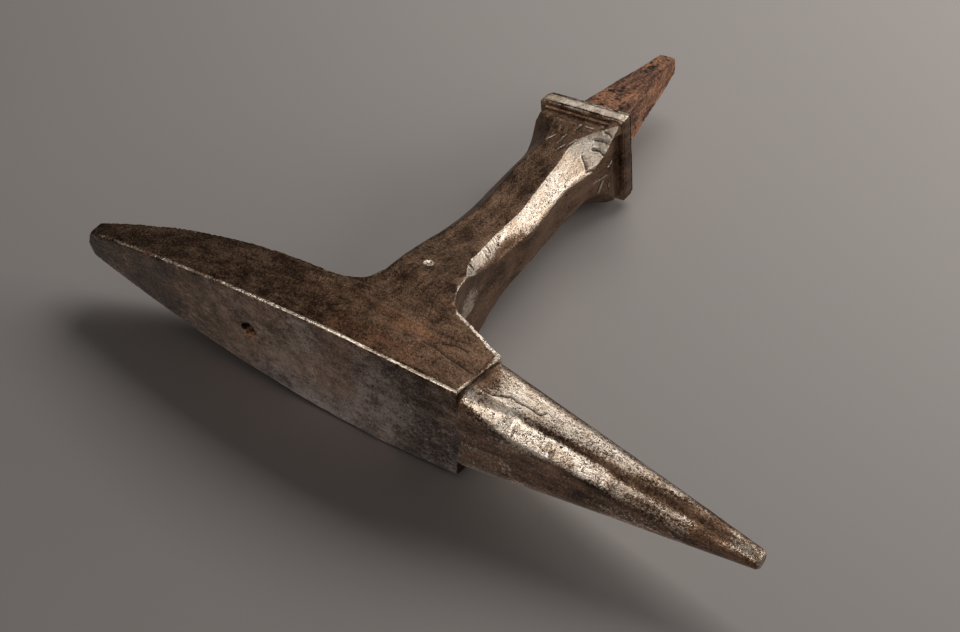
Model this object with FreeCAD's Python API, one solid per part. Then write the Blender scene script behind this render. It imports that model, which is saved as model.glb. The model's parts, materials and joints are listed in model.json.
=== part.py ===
import FreeCAD, Part

import math
import os

from FreeCAD import Rotation, Vector

# A stake anvil (bickern) in millimetres. It stands on its collar with +Z up out of the
# working face. The horn points to -X, the heel to +X, and the tang goes down along -Z.
# The origin is the centre of the collar's underside.

# Driving dimensions
FACE_HEIGHT = 291.0        # seat to the crown of the working face
HEEL_REACH = 223.0         # stem axis to the end of the heel
HORN_REACH = 268.0         # stem axis to the end of the horn
SHOULDER = 79.0            # stem axis to the shoulder, at the face
FACE_HALF_WIDTH = 39.3     # the widest place of the face, over the stem
NECK_HALF_WIDTH = 24.0     # the octagonal shank across its flats
COLLAR_HALF_WIDTH = 34.5
COLLAR_THICKNESS = 16.0
TANG_LENGTH = 119.0
FOOT_TWIST = 6.0           # degrees that the foot is turned against the head

# Working face
SHOULDER_HALF_WIDTH = 36.6
NOSE_HALF_WIDTH = 10.8
NOSE_ROUNDING = 4.5
CROWN_AT_HEEL = 6.5        # how far the face falls to the heel's end
CROWN_AT_SHOULDER = 2.5
HEEL_BELLY = (110.0, 30.4)  # a point of the face's outline between the stem and the nose
SHOULDER_BELLY = 38.6      # half width midway from the stem to the shoulder
EDGE_WEAR = 1.2            # rounding all round the face

# Head below the face
SHOULDER_SLOPE = 5.5       # the shoulder leans out towards the horn by this, top to bottom
UNDERSIDE_HEIGHT = FACE_HEIGHT - 44.0
UNDERSIDE_RADIUS = 479.0
UNDERSIDE_LEVEL_AT = 62.0
HORN_UNDERSIDE_HEIGHT = FACE_HEIGHT - 41.0
HORN_FILLET_END = (-45.0, FACE_HEIGHT - 56.0)
HEEL_FILLET_START = (18.0, FACE_HEIGHT - 64.0)
HEEL_FILLET_END = (48.0, UNDERSIDE_HEIGHT)
HORN_FILLET_HANDLE = 16.0  # how far each curve sets out along its end's direction
HEEL_SIDE_HANDLE = 40.0
HEEL_FILLET_RISE = Vector(-1, 0, 14)
HEEL_FILLET_RUN = Vector(20, 0, 0)
CHEEK_BOTTOM = FACE_HEIGHT - 40.0

# Shank and foot
STEM_AXIS = -2.0           # the shank stands this far from the foot's axis, horn side
NECK_TOP = 120.0
NECK_BOTTOM = 78.0
HAUNCH_START = 203.0
DIAGONAL = 26.0            # stem axis to the corner facets
HORN_FACET_BEND = ((DIAGONAL, HAUNCH_START - 22.0), (DIAGONAL + 11.0, HAUNCH_START + 14.0))
HEEL_FACET_BEND = ((DIAGONAL, HAUNCH_START - 43.0), (DIAGONAL + 12.0, HAUNCH_START - 13.0))
HEEL_FACET_END = (DIAGONAL + 13.5, HAUNCH_START + 22.0)
HEEL_FACET_FILLET = ((DIAGONAL + 14.0, HAUNCH_START + 37.0), (60.0, UNDERSIDE_HEIGHT - 4.0))
FACET_RUN_OUT = (100.0, UNDERSIDE_HEIGHT - 4.0)    # the corner facets run out under the head here
FOOT_TOP = 66.0
LIP_HEIGHT = 27.0
LIP_HALF_WIDTH = 31.5
LIP_THICKNESS = 1.5
COVE_HALF_WIDTH = 29.5
COVE_HEIGHT = 6.0
COVE_HANDLE = 1.0
FLARE_BELLY = 2.2          # the flare stands out from the neck by this, midway down
FACET_END = 55.0           # the corner facets leave the shank's line here
FACET_TURN = 9.0           # above the lip
FACET_SPREAD = (10.0, 3.0)  # inside the collar's corner, above the lip
FOOT_CORNER = COLLAR_HALF_WIDTH - 1.0
CORNER_POST_WIDTH = 7.0

# Collar's broken edges
UPRIGHT_ROUNDING = 3.0
TOP_CHAMFER = 1.2
BOTTOM_CHAMFER = 2.0

# Horn: half width, half height, centre height, corner radius
HORN_ROOT = (33.0, 21.5, FACE_HEIGHT - 24.0, 11.0)
HORN_MIDDLE = (20.5, 14.6, FACE_HEIGHT - 22.5, 11.5)
HORN_TIP = (6.2, 6.2, FACE_HEIGHT - 20.3, 6.0)
TIP_ROUNDING = 2.0
TIP_SHRINK = 0.8           # the end face is smaller by this share of the rounding
ROOT_INSIDE = 20.0         # how far the horn is drawn in past the shoulder before trimming

# Forge-weld lines, as seen from the side
SEAM_AT_SHOULDER = FACE_HEIGHT - 19.5
SEAM_AT_STEM = FACE_HEIGHT - 29.0
SEAM_AT_HEEL = FACE_HEIGHT - 18.0
GLUT_FOOT = HAUNCH_START - 14.0          # the lower side of the heel's wedge
HEEL_GLUT = ((25.0, GLUT_FOOT), (17.0, SEAM_AT_STEM - 6.0), (82.0, UNDERSIDE_HEIGHT - 9.0), (82.0, GLUT_FOOT))
HORN_GLUT_FOOT = HAUNCH_START - 20.0
HORN_GLUT = ((-29.0, HORN_GLUT_FOOT), (-20.0, SEAM_AT_STEM - 8.0), (-66.0, UNDERSIDE_HEIGHT - 10.0),
             (-66.0, HORN_GLUT_FOOT))
SCARF = ((84.0, UNDERSIDE_HEIGHT - 20.0), (56.0, FACE_HEIGHT))
SHANK_WELD = ((-60.0, HAUNCH_START + 20.0), (STEM_AXIS, SEAM_AT_STEM - 14.0), (60.0, HAUNCH_START + 20.0))

# Punched hole near the heel
HOLE_AT = 79.0
HOLE_DIAMETER = 11.0

# Tang
TANG_ROOT_HALF_WIDTH = 21.0
TANG_TIP_HALF_WIDTH = 7.4
TANG_CHAMFER = 0.18        # share of the half width
TANG_NOSE = 4.0            # length of the blunt point
TANG_NOSE_SHARE = 0.6      # width of the point's end, as a share of the tip's
TANG_OFFSET = 1.8          # the tang stands off the foot's axis by this, heel side
TENON_HALF_WIDTH = 14.0
TENON_HEIGHT = 40.0

FAR = 400.0
CLOSE = 0.05               # places nearer than this count as the same


def side(x, z):
    """A point of the side view, on the middle plane."""
    return Vector(x, 0, z)


def line(start, end):
    return Part.makeLine(start, end)


def arc(start, middle, end):
    return Part.Arc(start, middle, end).toShape()


def bezier(*poles):
    curve = Part.BezierCurve()
    curve.setPoles(list(poles))
    return curve.toShape()


def chain(points):
    """Straight lines from each point to the next."""
    return [line(a, b) for a, b in zip(points, points[1:])]


def slab(edges, direction, half_width):
    """The closed outline drawn out to both sides by half_width."""
    outline = Part.Wire(Part.__sortEdges__(edges))
    face = Part.Face(outline)
    face.translate(direction * -half_width)
    return face.extrude(direction * 2 * half_width)


def region(*corners):
    """A prism across the whole width, from corners (x, z) of the side view."""
    points = [side(x, z) for x, z in corners]
    return slab(chain(points + points[:1]), Vector(0, 1, 0), FAR)


def turned(shape, degrees):
    result = shape.copy()
    result.rotate(Vector(0, 0, 0), Vector(0, 0, 1), degrees)
    return result


def moved(shape, x):
    result = shape.copy()
    result.translate(Vector(x, 0, 0))
    return result


def only_solid(shape):
    """The largest solid, without the thin leftovers of a cut."""
    solids = sorted(shape.Solids, key=lambda solid: solid.Volume)
    return solids[-1]


def crown_height(x):
    """The face's height at x. It falls from the crown over the stem ever faster to both ends."""
    fall, reach = (CROWN_AT_HEEL, HEEL_REACH) if x > 0 else (CROWN_AT_SHOULDER, SHOULDER)
    return FACE_HEIGHT - fall * (x / reach) ** 2


def underside_point(x):
    """A point of the heel's arched underside."""
    rise = UNDERSIDE_RADIUS - math.sqrt(UNDERSIDE_RADIUS ** 2 - (x - UNDERSIDE_LEVEL_AT) ** 2)
    return side(x, UNDERSIDE_HEIGHT + rise)


def head_side_view():
    """The head seen from the side: crowned face, shoulder, fillets and the arched heel."""
    neck_heel = STEM_AXIS + NECK_HALF_WIDTH
    neck_horn = STEM_AXIS - NECK_HALF_WIDTH
    nose_top = side(HEEL_REACH, crown_height(HEEL_REACH))
    shoulder_top = side(-SHOULDER, crown_height(-SHOULDER))
    shoulder_bottom = side(-SHOULDER - SHOULDER_SLOPE, HORN_UNDERSIDE_HEIGHT)
    horn_fillet_end = side(*HORN_FILLET_END)
    heel_fillet_start = side(*HEEL_FILLET_START)
    heel_fillet_end = side(*HEEL_FILLET_END)
    slope = (horn_fillet_end - shoulder_bottom).normalize()
    return [
        arc(nose_top, side(HEEL_REACH / 2, crown_height(HEEL_REACH / 2)), side(0, FACE_HEIGHT)),
        arc(side(0, FACE_HEIGHT), side(-SHOULDER / 2, crown_height(-SHOULDER / 2)), shoulder_top),
        line(shoulder_top, shoulder_bottom),
        line(shoulder_bottom, horn_fillet_end),
        bezier(horn_fillet_end, horn_fillet_end + slope * HORN_FILLET_HANDLE, side(neck_horn, HAUNCH_START),
               side(neck_horn, NECK_TOP)),
        line(side(neck_horn, NECK_TOP), side(neck_heel, NECK_TOP)),
        bezier(side(neck_heel, NECK_TOP), side(neck_heel, HAUNCH_START - HEEL_SIDE_HANDLE),
               heel_fillet_start),
        bezier(heel_fillet_start, heel_fillet_start + HEEL_FILLET_RISE, heel_fillet_end - HEEL_FILLET_RUN,
               heel_fillet_end),
        line(heel_fillet_end, underside_point(UNDERSIDE_LEVEL_AT)),
        arc(underside_point(UNDERSIDE_LEVEL_AT), underside_point((UNDERSIDE_LEVEL_AT + HEEL_REACH) / 2),
            underside_point(HEEL_REACH)),
        line(underside_point(HEEL_REACH), nose_top),
    ]


def head_plan():
    """The working face seen from above."""
    widest = Vector(0, FACE_HALF_WIDTH, 0)
    half = [
        arc(Vector(HEEL_REACH - NOSE_ROUNDING, NOSE_HALF_WIDTH, 0), Vector(*HEEL_BELLY, 0), widest),
        arc(widest, Vector(-SHOULDER / 2, SHOULDER_BELLY, 0), Vector(-SHOULDER, SHOULDER_HALF_WIDTH, 0)),
        line(Vector(-SHOULDER, SHOULDER_HALF_WIDTH, 0), Vector(-FAR, SHOULDER_HALF_WIDTH, 0)),
    ]
    other_half = [edge.mirror(Vector(0, 0, 0), Vector(0, 1, 0)) for edge in half]
    nose = arc(Vector(HEEL_REACH - NOSE_ROUNDING, NOSE_HALF_WIDTH, 0), Vector(HEEL_REACH, 0, 0),
               Vector(HEEL_REACH - NOSE_ROUNDING, -NOSE_HALF_WIDTH, 0))
    back = line(Vector(-FAR, SHOULDER_HALF_WIDTH, 0), Vector(-FAR, -SHOULDER_HALF_WIDTH, 0))
    return half + other_half + [nose, back]


def head_end_view():
    """The head seen along the horn: upright cheeks that draw in to the neck."""
    cheek, neck = FACE_HALF_WIDTH + 1, NECK_HALF_WIDTH
    middle = (CHEEK_BOTTOM + NECK_TOP) / 2
    half = [
        line(Vector(0, cheek, FAR), Vector(0, cheek, CHEEK_BOTTOM)),
        bezier(Vector(0, cheek, CHEEK_BOTTOM), Vector(0, cheek, middle), Vector(0, neck, middle),
               Vector(0, neck, NECK_TOP)),
    ]
    other_half = [edge.mirror(Vector(0, 0, 0), Vector(0, 1, 0)) for edge in half]
    ends = [line(Vector(0, cheek, FAR), Vector(0, -cheek, FAR)),
            line(Vector(0, neck, NECK_TOP), Vector(0, -neck, NECK_TOP))]
    return half + other_half + ends


def corner_facets():
    """Four-sided core, set at 45 degrees, whose sides are the facets of the shank's corners."""
    neck = side(DIAGONAL, NECK_TOP)
    run_out = side(*FACET_RUN_OUT)
    heel_end = side(*HEEL_FACET_END)
    outside = [line(run_out, side(FAR, FACET_RUN_OUT[1])), line(side(FAR, FACET_RUN_OUT[1]), side(FAR, FAR))]
    heel_side = [
        bezier(neck, *[side(*pole) for pole in HEEL_FACET_BEND], heel_end),
        bezier(heel_end, *[side(*pole) for pole in HEEL_FACET_FILLET], run_out),
    ]
    horn_side = [bezier(neck, *[side(*pole) for pole in HORN_FACET_BEND], run_out)]
    mirrored = [edge.mirror(Vector(0, 0, 0), Vector(1, 0, 0)) for edge in horn_side + outside]
    ends = [line(side(FAR, FAR), side(-FAR, FAR)), line(neck, side(-DIAGONAL, NECK_TOP))]
    core = slab(heel_side + outside + mirrored + ends, Vector(0, 1, 0), FAR)
    return turned(core, 45).common(turned(core, -45))


def punched_hole():
    """The round hole driven through the heel."""
    return Part.makeCylinder(HOLE_DIAMETER / 2, 2 * FAR, Vector(HOLE_AT, 0, 0))


def on_crown(edge):
    """Whether this edge of the head bounds the working face."""
    ends = [edge.valueAt(edge.FirstParameter), edge.valueAt(edge.LastParameter)]
    return all(abs(end.z - crown_height(end.x)) < CLOSE for end in ends)


def head():
    """The head with its haunches, down to the top of the neck, as one body."""
    body = slab(head_side_view(), Vector(0, 1, 0), FAR)
    body = body.common(slab(head_plan(), Vector(0, 0, 1), FAR))
    body = body.common(slab(head_end_view(), Vector(1, 0, 0), FAR))
    body = body.common(moved(corner_facets(), STEM_AXIS))
    body = only_solid(body)
    rim = [edge for edge in body.Edges if on_crown(edge)]
    return only_solid(body.makeFillet(EDGE_WEAR, rim).cut(punched_hole()))


def octagon(z, degrees, axis):
    """The neck's section: flats at NECK_HALF_WIDTH, corner facets at DIAGONAL."""
    flat_end = DIAGONAL * math.sqrt(2) - NECK_HALF_WIDTH
    quarter = [(NECK_HALF_WIDTH, -flat_end), (NECK_HALF_WIDTH, flat_end)]
    points = []
    for turn in range(4):
        spin = Rotation(Vector(0, 0, 1), 90 * turn + degrees)
        points += [spin.multVec(Vector(x, y, 0)) + Vector(axis, 0, z) for x, y in quarter]
    return Part.makePolygon(points + points[:1])


def neck():
    """The straight part of the shank, which twists by FOOT_TWIST between head and foot."""
    top = octagon(NECK_TOP, 0, STEM_AXIS)
    bottom = octagon(NECK_BOTTOM, FOOT_TWIST, 0)
    return Part.makeLoft([bottom, top], True, True)


def foot_side_view(bottom):
    """The flare, its lip and the cove above the collar."""
    flare = side(NECK_HALF_WIDTH + FLARE_BELLY, (NECK_BOTTOM + LIP_HEIGHT) / 2)
    lip = side(LIP_HALF_WIDTH, LIP_HEIGHT)
    lip_under = side(LIP_HALF_WIDTH, LIP_HEIGHT - LIP_THICKNESS)
    cove_top = side(COVE_HALF_WIDTH, LIP_HEIGHT - LIP_THICKNESS - COVE_HEIGHT)
    cove_bottom = side(COVE_HALF_WIDTH, bottom)
    half = [
        arc(side(NECK_HALF_WIDTH, NECK_BOTTOM), flare, lip),
        line(lip, lip_under),
        bezier(lip_under, side(COVE_HALF_WIDTH, LIP_HEIGHT - LIP_THICKNESS - COVE_HANDLE), cove_top),
        line(cove_top, cove_bottom),
    ]
    other_half = [edge.mirror(Vector(0, 0, 0), Vector(1, 0, 0)) for edge in half]
    ends = [line(side(NECK_HALF_WIDTH, NECK_BOTTOM), side(-NECK_HALF_WIDTH, NECK_BOTTOM)),
            line(cove_bottom, side(-COVE_HALF_WIDTH, bottom))]
    return half + other_half + ends


def foot_facets():
    """Like corner_facets, but running out to a point at the lip's corners."""
    corner = FOOT_CORNER * math.sqrt(2)
    half = [
        line(side(DIAGONAL, NECK_BOTTOM), side(DIAGONAL, FACET_END)),
        bezier(side(DIAGONAL, FACET_END), side(DIAGONAL, LIP_HEIGHT + FACET_TURN),
               side(corner - FACET_SPREAD[0], LIP_HEIGHT + FACET_SPREAD[1]), side(corner, COLLAR_THICKNESS)),
        line(side(corner, COLLAR_THICKNESS), side(corner, 0)),
    ]
    other_half = [edge.mirror(Vector(0, 0, 0), Vector(1, 0, 0)) for edge in half]
    ends = [line(side(DIAGONAL, NECK_BOTTOM), side(-DIAGONAL, NECK_BOTTOM)),
            line(side(corner, 0), side(-corner, 0))]
    core = slab(half + other_half + ends, Vector(0, 1, 0), FAR)
    return turned(core, 45).common(turned(core, -45))


def corner_post():
    """The one corner, front and horn side, where the foot runs down to the collar without a cove."""
    def square(outer, inner, z):
        corners = [Vector(-outer, -outer, z), Vector(-inner, -outer, z), Vector(-inner, -inner, z),
                   Vector(-outer, -inner, z)]
        return Part.makePolygon(corners + corners[:1])

    lip_inside = LIP_HALF_WIDTH - CORNER_POST_WIDTH
    return Part.makeLoft([square(FOOT_CORNER, lip_inside, COLLAR_THICKNESS),
                          square(LIP_HALF_WIDTH, lip_inside, LIP_HEIGHT)], True, True)


def flare():
    """The shank's lower end and the foot, from the neck down to the collar, untwisted."""
    body = slab(foot_side_view(COLLAR_THICKNESS), Vector(0, 1, 0), FAR)
    body = body.common(turned(body, 90)).fuse(corner_post())
    return only_solid(body.common(foot_facets()).removeSplitter())


def square_bar(half_width, bottom, top):
    """An upright square bar on the foot's axis."""
    return Part.makeBox(2 * half_width, 2 * half_width, top - bottom,
                        Vector(-half_width, -half_width, bottom))


def tenon():
    """The tang's upper end, let into the foot above the collar."""
    return square_bar(TENON_HALF_WIDTH, COLLAR_THICKNESS, TENON_HEIGHT)


def chamfered_square(half_width, z):
    """The tang's section: a square with its corners cut off."""
    inset = half_width * (1 - TANG_CHAMFER)
    points = []
    for turn in range(4):
        spin = Rotation(Vector(0, 0, 1), 90 * turn)
        points += [spin.multVec(Vector(half_width, y, z)) for y in (-inset, inset)]
    return Part.makePolygon(points + points[:1])


def tang_root():
    """The parallel part of the tang that the collar is shrunk on."""
    sections = [chamfered_square(TANG_ROOT_HALF_WIDTH, z) for z in (0, COLLAR_THICKNESS)]
    return moved(Part.makeLoft(sections, True, True), TANG_OFFSET)


def collar():
    """Square band with broken edges, shrunk on to the tang's root."""
    band = square_bar(COLLAR_HALF_WIDTH, 0, COLLAR_THICKNESS)
    uprights = [edge for edge in band.Edges if edge.BoundBox.ZLength > COLLAR_THICKNESS / 2]
    band = band.makeFillet(UPRIGHT_ROUNDING, uprights)
    top_rim = [edge for edge in band.Edges if edge.BoundBox.ZMin > COLLAR_THICKNESS - CLOSE]
    band = band.makeChamfer(TOP_CHAMFER, top_rim)
    bottom_rim = [edge for edge in band.Edges if edge.BoundBox.ZMax < CLOSE]
    band = band.makeChamfer(BOTTOM_CHAMFER, bottom_rim)
    return band.cut(tang_root())


def tang():
    """Tapered square spike with a blunt point, its root in the collar and its tenon in the foot."""
    sections = [chamfered_square(TANG_ROOT_HALF_WIDTH, 0),
                chamfered_square(TANG_TIP_HALF_WIDTH, TANG_NOSE - TANG_LENGTH),
                chamfered_square(TANG_TIP_HALF_WIDTH * TANG_NOSE_SHARE, -TANG_LENGTH)]
    spike = Part.makeLoft(sections, True, True)
    return moved(spike, TANG_OFFSET).fuse([tang_root(), tenon()]).removeSplitter()


def rounded_section(x, half_width, half_height, centre, radius):
    """A rounded rectangle across the horn."""
    y, z = half_width - radius, half_height - radius
    edges = []
    for turn, (cy, cz) in enumerate(((y, z), (-y, z), (-y, -z), (y, -z))):
        corner = Vector(x, cy, centre + cz)
        ray = [Vector(0, math.cos(a), math.sin(a)) * radius
               for a in (math.pi / 2 * turn, math.pi / 2 * (turn + 0.5), math.pi / 2 * (turn + 1))]
        edges.append(arc(corner + ray[0], corner + ray[1], corner + ray[2]))
    joined = []
    for first, second in zip(edges, edges[1:] + edges[:1]):
        joined += [first, line(first.lastVertex().Point, second.firstVertex().Point)]
    return Part.Wire(joined)


def horn():
    """Boxy at the shoulder, round from the middle on, with a blunt end."""
    middle = -(SHOULDER + HORN_REACH) / 2
    root_slope = [(a - b) / (middle + SHOULDER) for a, b in zip(HORN_ROOT, HORN_MIDDLE)]
    inside = [a - s * ROOT_INSIDE for a, s in zip(HORN_ROOT, root_slope)]
    root = rounded_section(-SHOULDER + ROOT_INSIDE, *inside)
    half_way = rounded_section(middle, *HORN_MIDDLE)
    end = rounded_section(TIP_ROUNDING - HORN_REACH, *HORN_TIP)
    width, height, centre, radius = HORN_TIP
    shrink = TIP_ROUNDING * TIP_SHRINK
    last = rounded_section(-HORN_REACH, width - shrink, height - shrink, centre, radius - shrink)
    taper = Part.makeLoft([root, half_way, end], True, False)
    nose = Part.makeLoft([end, last], True, True)
    return taper.fuse(nose)


def facing_region():
    """Everything above the weld seam of the steel facing."""
    return region((-FAR, SEAM_AT_SHOULDER), (-SHOULDER, SEAM_AT_SHOULDER), (0, SEAM_AT_STEM),
                  (FAR, SEAM_AT_STEM + (SEAM_AT_HEEL - SEAM_AT_STEM) * FAR / HEEL_REACH),
                  (FAR, FAR), (-FAR, FAR))


def behind_shoulder():
    """The space that the head fills, so that the horn ends in its shoulder and runs on only below it."""
    return region((-SHOULDER - SHOULDER_SLOPE, HORN_UNDERSIDE_HEIGHT), (0, HORN_UNDERSIDE_HEIGHT), (0, FAR),
                  (-SHOULDER, FAR), (-SHOULDER, crown_height(-SHOULDER)))


def heel_region():
    """The heel's iron, outside the scarf beside the stem."""
    (_, bottom), (_, top) = SCARF
    return region(*SCARF, (FAR, top), (FAR, bottom))


def shank_region():
    """Below the wedge-shaped weld under the head."""
    (left, _), _, (right, _) = SHANK_WELD
    return region(*SHANK_WELD, (right, 0), (left, 0))


def parts():
    """Every piece of the forging by name, in its place."""
    whole_head = head()
    facing = facing_region()
    core = whole_head.cut(facing)
    heel_glut = core.common(region(*HEEL_GLUT))
    horn_glut = core.common(region(*HORN_GLUT))
    core = core.cut([region(*HEEL_GLUT), region(*HORN_GLUT)])
    shank_top = core.common(shank_region())
    block_and_heel = core.cut(shank_region())

    whole_horn = only_solid(horn().cut(behind_shoulder()).cut(whole_head))
    lower_end = turned(flare(), FOOT_TWIST)
    foot_space = square_bar(FAR, 0, FOOT_TOP)
    shank = shank_top.fuse([neck(), lower_end.cut(foot_space)])

    return {
        "face_steel": whole_head.common(facing),
        "horn_steel": whole_horn.common(facing),
        "horn_core": whole_horn.cut(facing),
        "heel_core": block_and_heel.common(heel_region()),
        "head_block": block_and_heel.cut(heel_region()),
        "heel_glut": heel_glut,
        "horn_glut": horn_glut,
        "shank": shank.removeSplitter(),
        "foot": turned(flare().common(foot_space).cut(tenon()), FOOT_TWIST),
        "collar": turned(collar(), FOOT_TWIST),
        "tang": turned(tang(), FOOT_TWIST),
    }


os.makedirs("parts", exist_ok=True)
for name, shape in parts().items():
    solid = only_solid(shape)
    print(name, len(shape.Solids), "solid(s)", round(solid.Volume / 1000, 1), "cm3", solid.isValid())
    solid.exportStep(f"parts/{name}.step")
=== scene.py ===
import itertools
import json
import math

import bmesh
import bpy
import numpy as np
from mathutils import Matrix, Vector, kdtree


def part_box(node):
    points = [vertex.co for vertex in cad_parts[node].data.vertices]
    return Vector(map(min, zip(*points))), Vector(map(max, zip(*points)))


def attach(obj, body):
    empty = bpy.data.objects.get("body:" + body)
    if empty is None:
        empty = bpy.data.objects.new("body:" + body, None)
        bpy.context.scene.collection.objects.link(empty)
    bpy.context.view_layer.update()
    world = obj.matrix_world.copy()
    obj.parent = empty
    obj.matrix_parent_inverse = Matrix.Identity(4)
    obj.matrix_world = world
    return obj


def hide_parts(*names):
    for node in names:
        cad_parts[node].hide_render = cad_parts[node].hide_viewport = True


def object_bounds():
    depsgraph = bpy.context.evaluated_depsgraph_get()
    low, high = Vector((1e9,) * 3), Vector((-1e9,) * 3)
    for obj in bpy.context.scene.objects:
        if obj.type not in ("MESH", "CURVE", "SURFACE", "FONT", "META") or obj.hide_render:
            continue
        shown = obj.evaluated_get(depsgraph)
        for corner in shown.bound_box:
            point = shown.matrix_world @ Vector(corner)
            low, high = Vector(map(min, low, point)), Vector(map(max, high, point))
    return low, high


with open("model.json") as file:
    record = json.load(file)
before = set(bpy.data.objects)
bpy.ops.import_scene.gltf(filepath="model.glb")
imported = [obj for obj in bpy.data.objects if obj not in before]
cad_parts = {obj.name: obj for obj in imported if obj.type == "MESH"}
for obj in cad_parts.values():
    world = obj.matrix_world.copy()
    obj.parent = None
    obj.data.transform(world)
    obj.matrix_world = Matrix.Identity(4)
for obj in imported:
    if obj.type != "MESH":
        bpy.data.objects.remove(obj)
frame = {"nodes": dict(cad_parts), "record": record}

cad_low, cad_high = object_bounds()

# The looks of a forged stake anvil that lies on its far cheek. The shaping below works in
# millimetres in the frame's axes: +Z out of the working face, the horn to -X, the near cheek
# to -Y. The frame's own unit is the metre.
MM = 0.001

# ---------------------------------------------------------------- measures taken from the frame


def box_mm(node):
    low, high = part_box(node)
    return np.array(low) / MM, np.array(high) / MM


face_low, face_high = box_mm("face_steel")
horn_low, horn_high = box_mm("horn_steel")
heel_low, heel_high = box_mm("heel_core")
heel_glut_low, heel_glut_high = box_mm("heel_glut")
horn_glut_low, horn_glut_high = box_mm("horn_glut")
shank_low, shank_high = box_mm("shank")
block_low = box_mm("head_block")[0]
foot_high = box_mm("foot")[1]
collar_high = box_mm("collar")[1]
tang_high = box_mm("tang")[1]

FACE = face_high[2]              # height of the face's crown
CHEEK = face_high[1]             # half width of the face
HEEL = face_high[0]
SHOULDER = horn_high[0]          # the shoulder, at the face
SHOULDER_FOOT = block_low[0]     # the shoulder's lower end leans out to here
SHOULDER_DEPTH = 41.0            # and it is this deep below the face there
HORN_END = horn_low[0]
COLLAR_TOP = collar_high[2]
FOOT_TOP = foot_high[2]
SEAM_AT_STEM = face_low[2]       # heights of the face steel's weld seam
SEAM_AT_SHOULDER = horn_low[2]
SEAM_AT_HEEL = heel_high[2]

hole = next(m for m in frame["record"]["mounts"] if m["name"] == "punched_hole")
HOLE_AT = hole["pos_m"][0] / MM
HOLE_RADIUS = hole["dims"]["r_mm"]
HOLE_END = FACE - 60             # the hole comes out under the head above this height

NECK = FACE - 161                # the stem starts to widen towards the head here
STEM_TOP = FACE - 75             # the stem ends and the head starts about here
UNDER_HEAD = FACE - 74           # height of the inner corners between the stem and the head
HORN_AXIS = FACE - 23.5          # height of the horn's middle line
FOOT_TURN = math.radians(6)      # the foot, collar and tang are turned by this against the head
FAR = 400.0                      # farther than anything on the anvil

HEAD_FADE = 25.0                 # lengths over which one zone fades into the next
FOOT_FADE = 8.0
COLLAR_FADE = 0.5

# ---------------------------------------------------------------- small tools


def smooth(value, start, end):
    """0 before start, 1 after end and an even S between them."""
    t = np.clip((value - start) / (end - start), 0, 1)
    return t * t * (3 - 2 * t)


def window(value, start, full, ease, end):
    """0 before start, 1 from full to ease and 0 after end."""
    return smooth(value, start, full) * (1 - smooth(value, ease, end))


def unit(vector):
    vector = np.array(vector, float)
    return vector / np.linalg.norm(vector)


LATTICE = 32                     # the noise repeats after this many bumps
SEED_SHIFT = 7.31                # each seed shifts the lattice


def noise(points, size, seed, stretch=(1, 1, 1)):
    """Soft bumps from -1 to 1, about size millimetres across, drawn out along each axis by stretch."""
    table = np.random.default_rng(seed).uniform(-1, 1, (LATTICE,) * 3)
    place = points / (size * np.array(stretch)) + seed * SEED_SHIFT
    cell = np.floor(place).astype(int)
    part = place - cell
    part = part * part * (3 - 2 * part)
    total = np.zeros(len(points))
    for corner in itertools.product((0, 1), repeat=3):
        weight = np.prod(np.where(corner, part, 1 - part), axis=1)
        x, y, z = ((cell + corner) % LATTICE).T
        total += weight * table[x, y, z]
    return total


def mesh_object(name, mesh):
    obj = bpy.data.objects.new(name, mesh)
    bpy.context.scene.collection.objects.link(obj)
    return obj


def remove(obj):
    mesh = obj.data
    bpy.data.objects.remove(obj)
    bpy.data.meshes.remove(mesh)


def apply_modifiers(obj):
    """The mesh with its modifiers worked in."""
    graph = bpy.context.evaluated_depsgraph_get()
    return bpy.data.meshes.new_from_object(obj.evaluated_get(graph))


# ---------------------------------------------------------------- the skin


VOXEL = 0.7
EVENING_ROUNDS = 6               # rounds of smoothing that take the voxel steps out
SHRINKING = 0.5                  # each round moves the points towards their neighbours' mean by this
GROWING = -0.52                  # and then away from it
FORM_ROUNDS = 40     # rounds to the broad form, against which edges stand out
SOFT_EDGE_ROUNDS = 60
RIM_ROUNDS = 10       # the face's near rim is worn rounder than other edges
WHOLE = 0.99                     # below this a point doesn't come from the skin but from a cut


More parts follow.
